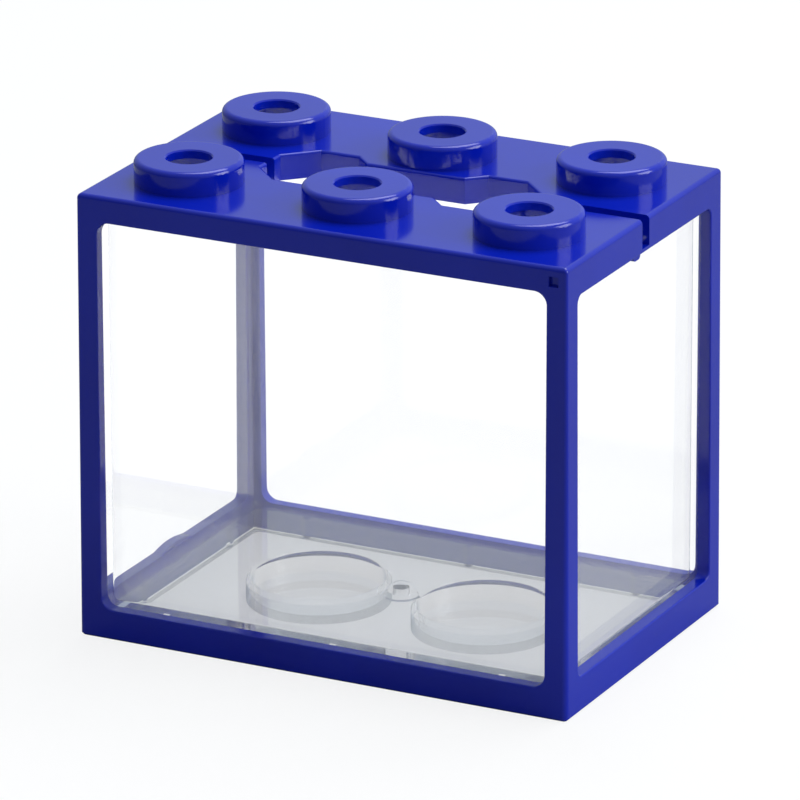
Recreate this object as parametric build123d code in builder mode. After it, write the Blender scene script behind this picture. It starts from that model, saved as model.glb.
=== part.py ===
from build123d import *
import math
import os

# Stackable betta aquarium.
# A clear moulded tank stands inside a coloured moulded frame that lifts straight off.
# Six hollow studs on top of the frame enter the hollow underside of the next unit.
# Units are millimetres, +Z is up, the front is -Y, and the origin is the centre of the footprint.

# Frame body
frame_length = 120.0
frame_width = 80.0
plate_top = 103.1
plate_thickness = 2.5
frame_wall = 3.0
frame_draft = 0.33
frame_corner_radius = 1.2
plate_edge_radius = 1.0
foot_edge_chamfer = 0.5

# Corner pillars and rails, which leave the window openings between them
long_side_pillar = 5.5
long_side_sill = 7.0
long_side_rail = 6.0
long_window_radius = 3.0
short_side_pillar = 6.0
short_side_sill = 8.3
short_side_rail = 7.7
short_window_radius = 2.0
window_edge_radius = 0.35

# Studs: three along the length, two across the width
end_margin = 18.6
side_margin = 19.3
stud_radius = 12.2
stud_height = 5.5
stud_skin = 2.0
stud_wall = 2.0
stud_bore_radius = 5.1
stud_edge_radius = 1.2
stud_bore_chamfer = 0.3

# Feeding opening: two octagons joined by a straight slot, all edged by a turned-down wall
octagon_across_flats = 22.8
slot_margin = 1.0
skirt_wall = 1.8
skirt_depth = 6.0
opening_edge_radius = 0.6

# Cross slit from each octagon through the plate and most of the side rail
slit_width = 3.6
slit_web = 1.0

# Small moulded marks on the frame
hump_length = 14.8
hump_height = 1.0
hump_width = 2.2
hump_inset = 0.5
nub_length = 3.4
nub_drop = 0.9
nub_offset = -4.0
nub_width = 2.2
mark_size = 2.3
mark_depth = 1.0
mark_from_end = 3.8
mark_from_top = 3.3

# Tank
tank_gap = 0.25
tank_rim_gap = 0.3
tank_wall = 2.0
tank_corner_radius = 2.0
tank_inner_radius = 1.5
floor_clearance = 0.2
floor_thickness = 1.5
floor_fillet_radius = 1.2
rim_edge_radius = 0.5

# Round wells in the floor, one between each group of four studs below
well_stud_gap = 0.67
well_wall = 1.4
well_taper = 4.0
well_depth = 4.5
well_floor_thickness = 1.5
well_edge_radius = 0.6

# Domed boss at the middle of the floor, hollow below
dome_radius = 3.9
dome_recess_radius = 1.8
dome_recess_rise = 0.6

# Ribs under the floor that hold the studs of the unit below
rib_thickness = 1.6
rib_bottom = 1.0
rib_stud_gap = 0.1

# Frame sizes that follow
cavity_length = frame_length - 2 * frame_wall
cavity_width = frame_width - 2 * frame_wall
plate_under = plate_top - plate_thickness
long_window_length = frame_length - 2 * long_side_pillar
long_window_height = plate_top - long_side_rail - long_side_sill
short_window_length = frame_width - 2 * short_side_pillar
short_side_head = plate_top - short_side_rail
short_window_height = short_side_head - short_side_sill
mark_z = plate_top - mark_from_top
mark_reach = mark_depth + mark_z * math.tan(math.radians(frame_draft))
hump_radius = (hump_length**2 / 4 + hump_height**2) / (2 * hump_height)

# Stud and opening sizes that follow
pitch_x = frame_length / 2 - end_margin
pitch_y = frame_width - 2 * side_margin
stud_top = plate_top + stud_height
slot_width = pitch_y - 2 * (stud_radius + slot_margin)
octagon_corner_radius = octagon_across_flats / 2 / math.cos(math.pi / 8)
skirt_corner_radius = (octagon_across_flats / 2 + skirt_wall) / math.cos(math.pi / 8)
skirt_bottom = plate_top - skirt_depth
slit_bottom = short_side_head + slit_web
slit_start = pitch_x / 2
slit_reach = frame_length / 2 + 1

# Tank sizes that follow
tank_length = cavity_length - 2 * tank_gap
tank_width = cavity_width - 2 * tank_gap
tank_inner_length = tank_length - 2 * tank_wall
tank_inner_width = tank_width - 2 * tank_wall
tank_height = skirt_bottom - tank_rim_gap
floor_under = stud_height + floor_clearance
floor_top = floor_under + floor_thickness
well_outer_radius = math.hypot(pitch_x, pitch_y) / 2 - stud_radius - well_stud_gap
well_radius = well_outer_radius - well_wall
well_bottom = floor_top - well_depth
rib_root_x = tank_length / 2 - tank_wall / 2
rib_root_y = tank_width / 2 - tank_wall / 2
rib_end_x = pitch_x + stud_radius + rib_stud_gap
rib_end_y = pitch_y / 2 + stud_radius + rib_stud_gap

os.makedirs("parts", exist_ok=True)

# Frame: one moulding open at the bottom, drawn upward with a slight draft on its outside
with BuildPart() as frame:
    with BuildSketch(Plane.XY):
        RectangleRounded(frame_length, frame_width, frame_corner_radius)
    extrude(amount=plate_top, taper=frame_draft)
    fillet(frame.faces().sort_by(Axis.Z)[-1].edges(), radius=plate_edge_radius)
    chamfer(frame.faces().sort_by(Axis.Z)[0].edges(), length=foot_edge_chamfer)
    with BuildSketch(Plane.XY):
        Rectangle(cavity_length, cavity_width)
    extrude(amount=plate_under, mode=Mode.SUBTRACT)

    # Turned-down wall round the feeding opening and along both slits
    with BuildSketch(Plane.XY.offset(skirt_bottom)):
        with GridLocations(pitch_x, 1, 2, 1):
            RegularPolygon(skirt_corner_radius, 8, rotation=22.5)
        Rectangle(pitch_x, slot_width + 2 * skirt_wall)
        Rectangle(cavity_length, slit_width + 2 * skirt_wall)
    extrude(amount=plate_under - skirt_bottom)

    # Feeding opening with a rounded rim
    with BuildSketch(Plane.XY.offset(skirt_bottom)):
        with GridLocations(pitch_x, 1, 2, 1):
            RegularPolygon(octagon_corner_radius, 8, rotation=22.5)
        Rectangle(pitch_x, slot_width)
    extrude(amount=plate_top - skirt_bottom, mode=Mode.SUBTRACT)
    plate_face = frame.faces().filter_by(Plane.XY).sort_by(Axis.Z)[-1]
    fillet(plate_face.inner_wires().edges(), radius=opening_edge_radius)

    # Cross slits, stopped above the bottom of the short side rails so that a thin web stays
    with BuildSketch(Plane.XY.offset(slit_bottom)):
        with GridLocations(slit_start + slit_reach, 1, 2, 1):
            Rectangle(slit_reach - slit_start, slit_width)
    extrude(amount=plate_top - slit_bottom, mode=Mode.SUBTRACT)

    # Studs stand on the plate
    with BuildSketch(Plane.XY.offset(plate_top)):
        with GridLocations(pitch_x, pitch_y, 3, 2):
            Circle(stud_radius)
    extrude(amount=stud_height)
    stud_faces = frame.faces().filter_by(Plane.XY).group_by(Axis.Z)[-1]
    fillet(stud_faces.edges(), radius=stud_edge_radius)

    # Each stud is hollow below and bored through its top skin
    with BuildSketch(Plane.XY.offset(plate_under)):
        with GridLocations(pitch_x, pitch_y, 3, 2):
            Circle(stud_radius - stud_wall)
    extrude(amount=stud_top - stud_skin - plate_under, mode=Mode.SUBTRACT)
    with BuildSketch(Plane.XY.offset(plate_under)):
        with GridLocations(pitch_x, pitch_y, 3, 2):
            Circle(stud_bore_radius)
    extrude(amount=stud_top - plate_under, mode=Mode.SUBTRACT)
    bored_faces = frame.faces().filter_by(Plane.XY).group_by(Axis.Z)[-1]
    for bored_face in bored_faces:
        chamfer(bored_face.inner_wires().edges(), length=stud_bore_chamfer)

    # Windows of the long and the short sides
    with BuildSketch(Plane.XZ):
        with Locations((0, long_side_sill + long_window_height / 2)):
            RectangleRounded(long_window_length, long_window_height, long_window_radius)
    extrude(amount=frame_width, both=True, mode=Mode.SUBTRACT)
    with BuildSketch(Plane.YZ):
        with Locations((0, short_side_sill + short_window_height / 2)):
            RectangleRounded(short_window_length, short_window_height, short_window_radius)
    extrude(amount=frame_length, both=True, mode=Mode.SUBTRACT)
    upright_faces = frame.faces().filter_by(lambda face: abs(face.normal_at().Z) < 0.1)
    outer_faces = upright_faces.filter_by(lambda face: face.normal_at().dot(face.center()) > cavity_width / 2)
    window_rims = [wire for face in outer_faces for wire in face.inner_wires()]
    fillet([edge for wire in window_rims for edge in wire.edges()], radius=window_edge_radius)

    # Low rounded hump on the left base rail
    with BuildSketch(Plane.YZ.offset(hump_inset - frame_length / 2)):
        with Locations((0, short_side_sill + hump_height - hump_radius)):
            Circle(hump_radius)
        with Locations((0, short_side_sill - hump_radius - 1)):
            Rectangle(2 * hump_radius + 2, 2 * hump_radius, mode=Mode.SUBTRACT)
    extrude(amount=hump_width)

    # Small nub below the right top rail, beside the slit
    with BuildSketch(Plane.YZ.offset(cavity_length / 2)):
        with Locations((nub_offset, short_side_head)):
            SlotOverall(nub_length, 2 * nub_drop)
    extrude(amount=nub_width)

    # Shallow square mark near the upper right corner of the front
    with BuildSketch(Plane.XZ.offset(frame_width / 2)):
        with Locations((frame_length / 2 - mark_from_end, mark_z)):
            Rectangle(mark_size, mark_size)
    extrude(amount=-mark_reach, mode=Mode.SUBTRACT)

frame.part.label = "frame"
export_step(frame.part, "parts/frame.step")

# Tank: open box whose walls run on below the floor as a skirt
with BuildPart() as tank:
    with BuildSketch(Plane.XY):
        RectangleRounded(tank_length, tank_width, tank_corner_radius)
    extrude(amount=tank_height)
    with BuildSketch(Plane.XY.offset(floor_top)):
        RectangleRounded(tank_inner_length, tank_inner_width, tank_inner_radius)
    extrude(amount=tank_height - floor_top, mode=Mode.SUBTRACT)
    fillet(tank.faces().sort_by(Axis.Z)[-1].edges(), radius=rim_edge_radius)
    floor_face = tank.faces().filter_by(Plane.XY).filter_by_position(
        Axis.Z, floor_top - 0.01, floor_top + 0.01
    )
    fillet(floor_face.edges(), radius=floor_fillet_radius)
    with BuildSketch(Plane.XY):
        RectangleRounded(tank_inner_length, tank_inner_width, tank_inner_radius)
    extrude(amount=floor_under, mode=Mode.SUBTRACT)

    # Ribs under the floor, one from the skirt to each place where a stud comes in
    with BuildSketch(Plane.XY.offset(rib_bottom)):
        with GridLocations(rib_root_x + rib_end_x, pitch_y, 2, 2):
            Rectangle(rib_root_x - rib_end_x, rib_thickness)
        with GridLocations(pitch_x, rib_root_y + rib_end_y, 3, 2):
            Rectangle(rib_thickness, rib_root_y - rib_end_y)
    extrude(amount=floor_under - rib_bottom)

    # Round wells sunk into the floor
    with BuildSketch(Plane.XY.offset(well_bottom - well_floor_thickness)):
        with GridLocations(pitch_x, 1, 2, 1):
            Circle(well_outer_radius)
    extrude(amount=floor_under - well_bottom + well_floor_thickness)
    with BuildSketch(Plane.XY.offset(floor_top)):
        with GridLocations(pitch_x, 1, 2, 1):
            Circle(well_radius)
    extrude(amount=-well_depth, taper=well_taper, mode=Mode.SUBTRACT)
    well_rims = tank.edges().filter_by(GeomType.CIRCLE).filter_by_position(
        Axis.Z, floor_top - 0.01, floor_top + 0.01
    )
    fillet(well_rims, radius=well_edge_radius)

    # Domed boss at the middle, with a small recess below it
    with Locations((0, 0, floor_top)):
        Sphere(dome_radius, arc_size1=0)
    with BuildSketch(Plane.XY.offset(floor_under)):
        Circle(dome_recess_radius)
    extrude(amount=floor_thickness + dome_recess_rise, mode=Mode.SUBTRACT)

tank.part.label = "tank"
export_step(tank.part, "parts/tank.step")
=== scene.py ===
# %% [markdown]
# A small stackable fish tank made like a toy building block. A clear open box holds the water. A
# glossy blue frame drops over it, and six hollow studs on the frame carry the next block.
# Both pieces come from the engineering model, so this lesson is about everything else: a white
# studio, a camera, and two plastics that have to look moulded and not merely coloured.

# %% Load the measured frame
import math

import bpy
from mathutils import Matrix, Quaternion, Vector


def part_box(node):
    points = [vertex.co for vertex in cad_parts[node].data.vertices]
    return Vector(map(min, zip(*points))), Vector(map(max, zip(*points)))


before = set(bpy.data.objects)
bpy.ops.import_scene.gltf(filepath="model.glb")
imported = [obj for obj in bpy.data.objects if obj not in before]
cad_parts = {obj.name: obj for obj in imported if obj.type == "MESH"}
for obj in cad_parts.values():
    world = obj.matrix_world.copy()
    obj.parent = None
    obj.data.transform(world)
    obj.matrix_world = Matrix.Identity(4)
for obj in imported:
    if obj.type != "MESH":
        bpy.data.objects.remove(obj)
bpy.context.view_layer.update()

# %% [markdown]
# part_box, above, gives a piece's overall box from its own points. The tank's box is used further on,
# to find the floor under it.

# %% [markdown]
# Nodes are easier to read when each one is made by a single short call. feed puts a fixed value or
# another node's output into one socket. fill does that for several sockets and settings by name, and
# add_node makes the node first. Where the sockets of a node share one name, add_node takes values
# without a name, which go in by order. calculate is the short form for a Math node.

# %% Four helpers for node trees
def feed(socket, value):
    if isinstance(value, bpy.types.NodeSocket):
        socket.id_data.links.new(value, socket)
    else:
        socket.default_value = value


def fill(node, **values):
    for name, value in values.items():
        socket = node.inputs.get(name.replace("_", " "))
        if socket is None:
            setattr(node, name, value)
        else:
            feed(socket, value)
    return node


def add_node(tree, kind, *in_order, **values):
    node = fill(tree.nodes.new(kind), **values)
    for socket, value in zip(node.inputs, in_order):
        feed(socket, value)
    return node


def calculate(tree, operation, *numbers):
    return add_node(tree, "ShaderNodeMath", *numbers, operation=operation).outputs["Value"]


print("node helpers ready")

# %% [markdown]
# Moulded plastic is never optically flat. The skin carries a faint ripple where it shrank as it
# cooled, and its gloss drifts a little from place to place. Both plastics need that, each at its own
# strength, so it is one node group with named inputs. It gives back a normal, a roughness and a
# shade value, and the shader itself stays in the material.

# %% Sockets of the moulded skin group
skin_inputs = {
    "Ripple Scale": 60.0,
    "Ripple Height": 0.1,
    "Drift Scale": 18.0,
    "Gloss Low": 0.1,
    "Gloss High": 0.2,
}
skin_outputs = {
    "Normal": "NodeSocketVector",
    "Roughness": "NodeSocketFloat",
    "Shade": "NodeSocketFloat",
}

moulded_skin = bpy.data.node_groups.new("moulded_skin", "ShaderNodeTree")
for name, value in skin_inputs.items():
    socket = moulded_skin.interface.new_socket(name, in_out="INPUT", socket_type="NodeSocketFloat")
    socket.default_value = value
for name, kind in skin_outputs.items():
    moulded_skin.interface.new_socket(name, in_out="OUTPUT", socket_type=kind)
print("moulded skin sockets:", [item.name for item in moulded_skin.interface.items_tree])

# %% [markdown]
# Two noise textures read the piece's own Object coordinates. The fine one raises the ripple through a
# Bump node, at most a fraction of a millimetre. The broad one drifts the gloss and the shade. A noise
# texture rarely leaves the middle of its range, so only that middle is spread over the full effect.

# %% Fill the moulded skin group
ripple_detail = 2.0
ripple_grain = 0.4
ripple_depth = 0.0004
drift_detail = 3.0
drift_grain = 0.55
noise_low = 0.3
noise_high = 0.7

given = add_node(moulded_skin, "NodeGroupInput").outputs
place = add_node(moulded_skin, "ShaderNodeTexCoord").outputs["Object"]
ripple = add_node(
    moulded_skin,
    "ShaderNodeTexNoise",
    Vector=place,
    Scale=given["Ripple Scale"],
    Detail=ripple_detail,
    Roughness=ripple_grain,
).outputs["Fac"]
drift = add_node(
    moulded_skin,
    "ShaderNodeTexNoise",
    Vector=place,
    Scale=given["Drift Scale"],
    Detail=drift_detail,
    Roughness=drift_grain,
).outputs["Fac"]
bump = add_node(
    moulded_skin,
    "ShaderNodeBump",
    Height=ripple,
    Strength=given["Ripple Height"],
    Distance=ripple_depth,
)
gloss = add_node(
    moulded_skin,
    "ShaderNodeMapRange",
    Value=drift,
    From_Min=noise_low,
    From_Max=noise_high,
    To_Min=given["Gloss Low"],
    To_Max=given["Gloss High"],
)
shade = add_node(
    moulded_skin,
    "ShaderNodeMapRange",
    Value=drift,
    From_Min=noise_low,
    From_Max=noise_high,
)
add_node(
    moulded_skin,
    "NodeGroupOutput",
    Normal=bump.outputs["Normal"],
    Roughness=gloss.outputs["Result"],
    Shade=shade.outputs["Result"],
)
print("moulded skin nodes:", len(moulded_skin.nodes))

# %% [markdown]
# A material starts from the default Principled shader. The skin group is placed beside it with the
# values for this plastic, and its outputs go to the sockets that may change over a surface.

# %% A helper that starts a plastic
def start_plastic(name, **skin_values):
    material = bpy.data.materials.new(name)
    material.use_nodes = True
    tree = material.node_tree
    skin = add_node(tree, "ShaderNodeGroup", node_tree=moulded_skin, **skin_values)
    shader = tree.nodes["Principled BSDF"]
    fill(shader, Roughness=skin.outputs["Roughness"], Normal=skin.outputs["Normal"])
    return material, shader, skin


print("plastic helper ready")

# %% [markdown]
# The frame is coloured right through with a strong royal blue pigment. A dark saturated base under
# a clear mirror-like skin gives that depth. The shade value lets the pigment run a little deeper in
# some places, as the flow of the melt does on the real moulding.

# %% Blue frame plastic
blue_deep = (0.0006, 0.0090, 0.360, 1.0)
blue_light = (0.0016, 0.0150, 0.450, 1.0)
blue_bending = 1.5

blue_plastic, shader, skin = start_plastic(
    "frame_plastic",
    Ripple_Scale=55.0,
    Ripple_Height=0.10,
    Drift_Scale=22.0,
    Gloss_Low=0.10,
    Gloss_High=0.17,
)
pigment = add_node(
    blue_plastic.node_tree,
    "ShaderNodeMix",
    data_type="RGBA",
    A=blue_deep,
    B=blue_light,
    Factor=skin.outputs["Shade"],
)
fill(shader, Base_Color=pigment.outputs["Result"], IOR=blue_bending)
print("blue frame plastic:", blue_plastic.name)

# %% [markdown]
# The tank is clear polystyrene. Full glass with the plastic's real bending would trap light in the
# thin walls and draw black lines along them, which the real tank doesn't show. So the body bends
# light only a little, a clear coat brings the shine back, and a small share of plain white scatter
# stands for the haze of the material.

# %% Clear tank plastic
clear_bending = 1.06
clear_share = 0.96
coat_share = 0.8
coat_blur = 0.03

clear_plastic, shader, skin = start_plastic(
    "clear_plastic",
    Ripple_Scale=40.0,
    Ripple_Height=0.03,
    Drift_Scale=25.0,
    Gloss_Low=0.02,
    Gloss_High=0.06,
)
fill(
    shader,
    IOR=clear_bending,
    Transmission_Weight=clear_share,
    Coat_Weight=coat_share,
    Coat_Roughness=coat_blur,
)
print("clear tank plastic:", clear_plastic.name)

# %% [markdown]
# Where the surface turns away from the eye, at rims, corners and the wells, the light travels far
# through the plastic, and the real bending turns it away, so the real tank shows dark edges there. The
# body here bends too little for that, so this darkening is painted shade in the colour. Layer Weight
# says how far a surface is turned away, and the painted shade deepens from a first angle to a last
# one.

# %% Painted shade at the edges of the tank
clear_tint = (0.985, 0.990, 0.995, 1.0)
# painted shade colour for the parts of the tank that turn away from the eye
edge_painted_shade = (0.52, 0.62, 0.74, 1.0)
edge_start = 0.68
edge_full = 0.98
even_blend = 0.5

tree = clear_plastic.node_tree
turned = add_node(tree, "ShaderNodeLayerWeight", Blend=even_blend)
edge_shade_mask = add_node(
    tree,
    "ShaderNodeMapRange",
    Value=turned.outputs["Facing"],
    From_Min=edge_start,
    From_Max=edge_full,
)
# the clear tint, darkened towards the edges by painted shade
tint = add_node(
    tree,
    "ShaderNodeMix",
    data_type="RGBA",
    A=clear_tint,
    B=edge_painted_shade,
    Factor=edge_shade_mask.outputs["Result"],
)
fill(shader, Base_Color=tint.outputs["Result"])
print("tint deepens from", edge_start, "to", edge_full)

# %% [markdown]
# Each piece has one moulding and one plastic, so dressing it is a matter of giving its mesh a
# single material. The shape is not touched.

# %% Dress both pieces
for node, material in (("frame", blue_plastic), ("tank", clear_plastic)):
    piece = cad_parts[node]
    piece.data.materials.clear()
    piece.data.materials.append(material)
    print(piece.name, "wears", material.name)

# %% [markdown]
# A glossy blue box shows its surroundings more than its own colour, so the surroundings need a
# light side and a dark side. The world answers how bright the studio is in a direction: more from
# above, from the right and from behind, less from the front. It is slightly cool, as daylight lamps
# are.

# %% Studio light with a bright and a dark side
studio_lean = (0.12, 0.22, 0.30)
studio_middle = 0.35
studio_darkest = 0.04
studio_tone = (0.88, 1.00, 1.12, 1.0)

world = bpy.data.worlds.new("studio_world")
bpy.context.scene.world = world
world.use_nodes = True
sky = world.node_tree
sky.nodes.clear()

direction = add_node(sky, "ShaderNodeTexCoord").outputs["Generated"]
lean = add_node(sky, "ShaderNodeVectorMath", direction, studio_lean, operation="DOT_PRODUCT")
leaning_light = calculate(sky, "ADD", lean.outputs["Value"], studio_middle)
kept_light = calculate(sky, "MAXIMUM", leaning_light, studio_darkest)
soft = add_node(sky, "ShaderNodeBackground", Color=studio_tone, Strength=kept_light)
print("the studio is about", studio_middle, "bright as light")

# %% [markdown]
# The camera sees plain white instead, and so does light that went through the tank on its way from
# the camera. The tank takes a little of that light away, so it gets a little more, and the windows
# stay as clean as the background. World and floor both need this, so one helper reads the Light Path
# node: it gives back the node's outputs, the strength of the white, and whether the white is seen.

# %% A helper for the white that is seen
plain_white = 1.0
tank_loss = 0.18


def read_view(tree):
    path = add_node(tree, "ShaderNodeLightPath").outputs
    through_tank = path["Is Transmission Ray"]
    strength = calculate(tree, "MULTIPLY_ADD", through_tank, tank_loss, plain_white)
    seen = calculate(tree, "MAXIMUM", path["Is Camera Ray"], through_tank)
    return path, strength, seen


print("white is", plain_white, "to the camera and", plain_white + tank_loss, "through the tank")

# %% [markdown]
# A reflection on the tank should show the soft studio and not the white. The Glossy Depth counts the
# mirrors that a ray has met, so the white is kept for rays that have met none.

# %% White world
one_mirror_met = 0.5
white_colour = (1.0, 1.0, 1.0, 1.0)

path, strength, seen = read_view(sky)
unmirrored = calculate(sky, "LESS_THAN", path["Glossy Depth"], one_mirror_met)
seen_white = calculate(sky, "MULTIPLY", seen, unmirrored)
white = add_node(sky, "ShaderNodeBackground", Color=white_colour, Strength=strength)
surroundings = add_node(
    sky,
    "ShaderNodeMixShader",
    seen_white,
    soft.outputs["Background"],
    white.outputs["Background"],
)
add_node(sky, "ShaderNodeOutputWorld", Surface=surroundings.outputs["Shader"])
print("world nodes:", len(sky.nodes))

# %% [markdown]
# The block stands on a painted floor that takes its shadow. The paint is nearly white where it is
# looked at. Light that bounces on towards the blue sides finds a darker floor, or the front would
# lose its deep navy.

# %% Floor and its paint
floor_size = 6.0
floor_paint = (0.92, 0.92, 0.92, 1.0)
floor_bounce = (0.33, 0.34, 0.36, 1.0)
floor_blur = 0.9
floor_shine = 0.0

bpy.ops.object.select_all(action="DESELECT")
bpy.ops.mesh.primitive_plane_add(size=floor_size, location=(0, 0, 0))
floor = bpy.context.object
floor.name = "studio_floor"
floor_material = bpy.data.materials.new("studio_floor")
floor_material.use_nodes = True
ground = floor_material.node_tree

path, strength, seen = read_view(ground)
bounced = calculate(ground, "MAXIMUM", path["Is Diffuse Ray"], path["Is Glossy Ray"])
paint = add_node(
    ground,
    "ShaderNodeMix",
    data_type="RGBA",
    A=floor_paint,
    B=floor_bounce,
    Factor=bounced,
)
lit = ground.nodes["Principled BSDF"]
fill(
    lit,
    Base_Color=paint.outputs["Result"],
    Roughness=floor_blur,
    Specular_IOR_Level=floor_shine,
)
print("floor", floor_size, "metres square")

# %% [markdown]
# The floor under the tank is treated apart, so the material has to know where that is. The tank stands
# centred on the floor. So a point is under it when its distance from the middle, along and across, is
# less than that of the tank's corner.

# %% Find the floor under the tank
tank_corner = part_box("tank")[1]

spot = add_node(ground, "ShaderNodeTexCoord").outputs["Object"]
from_middle = add_node(ground, "ShaderNodeVectorMath", spot, operation="ABSOLUTE").outputs["Vector"]
sides = add_node(ground, "ShaderNodeSeparateXYZ", Vector=from_middle).outputs
along = calculate(ground, "LESS_THAN", sides["X"], tank_corner.x)
across = calculate(ground, "LESS_THAN", sides["Y"], tank_corner.y)
under_tank = calculate(ground, "MULTIPLY", along, across)
print("tank reaches", round(tank_corner.x, 4), "along and", round(tank_corner.y, 4), "across")

# %% [markdown]
# White light is then mixed over the paint. On the open floor it has the larger share for the camera,
# so that only a faint shadow stays, and all of it for light that went through the tank. Under the
# tank the paint has the larger share, which keeps the clear floor pale grey.

# %% White floor
open_white = 0.84
under_white = 0.45

open_share = calculate(
    ground, "MULTIPLY_ADD", path["Is Camera Ray"], open_white, path["Is Transmission Ray"]
)
under_share = calculate(ground, "MULTIPLY", seen, under_white)
share = add_node(
    ground,
    "ShaderNodeMix",
    data_type="FLOAT",
    A=open_share,
    B=under_share,
    Factor=under_tank,
)
white = add_node(ground, "ShaderNodeEmission", Strength=strength)
finish = add_node(
    ground,
    "ShaderNodeMixShader",
    share.outputs["Result"],
    lit.outputs["BSDF"],
    white.outputs["Emission"],
)
fill(ground.nodes["Material Output"], Surface=finish.outputs["Shader"])
floor.data.materials.append(floor_material)
print("floor nodes:", len(ground.nodes))

# %% [markdown]
# Two large soft lamps give the light its direction. The one above and a little behind makes the
# studded top the brightest face. The one on the right lights that side and leaves the front in
# shade, which is how the photograph reads. Both stay out of sight of the camera.

# %% Soft lamps
def add_lamp(name, place, size, watts):
    data = bpy.data.lights.new(name, "AREA")
    data.shape = "SQUARE"
    data.size = size
    data.energy = watts
    lamp = bpy.data.objects.new(name, data)
    bpy.context.scene.collection.objects.link(lamp)
    lamp.location = place
    lamp.rotation_euler = (-Vector(place)).to_track_quat("-Z", "Y").to_euler()
    lamp.visible_camera = False
    print(name, "at", place, "with", watts, "watts")


add_lamp("top_lamp", place=(0.10, 0.45, 1.20), size=0.8, watts=8.5)
add_lamp("right_lamp", place=(1.20, 0.25, 0.55), size=0.7, watts=8.0)

# %% [markdown]
# The camera stands to the right of the front, a little above, with a long lens, so the upright edges
# stay almost parallel. Its direction is given as two angles and a slight tilt, and its place follows
# from the distance along that direction and two small nudges that centre the block. The Standard view
# shows each colour about as it is written.

# %% Camera
turn = math.radians(26.772)
rise = math.radians(19.48)
tilt = math.radians(-0.168)
lens_mm = 358.72
sensor_mm = 36.0
distance = 1.76498
side_nudge = -0.000228
height_nudge = 0.000439
aim_height = 0.0515485
far_limit = 20.0

camera_data = bpy.data.cameras.new("photo_camera")
camera_data.lens = lens_mm
camera_data.sensor_width = sensor_mm
camera_data.clip_end = far_limit
camera = bpy.data.objects.new("photo_camera", camera_data)
bpy.context.scene.collection.objects.link(camera)
camera.rotation_euler = (math.pi / 2 - rise, 0.0, turn)
level_turn = camera.rotation_euler.to_quaternion()
camera.rotation_mode = "QUATERNION"
camera.rotation_quaternion = level_turn @ Quaternion((0, 0, 1), tilt)
right, up, back = camera.rotation_quaternion.to_matrix().col
aim = Vector((0, 0, aim_height)) + side_nudge * right + height_nudge * up
camera.location = aim + distance * back
bpy.context.scene.camera = camera
bpy.context.scene.view_settings.view_transform = "Standard"
print("camera at", [round(value, 3) for value in camera.location])
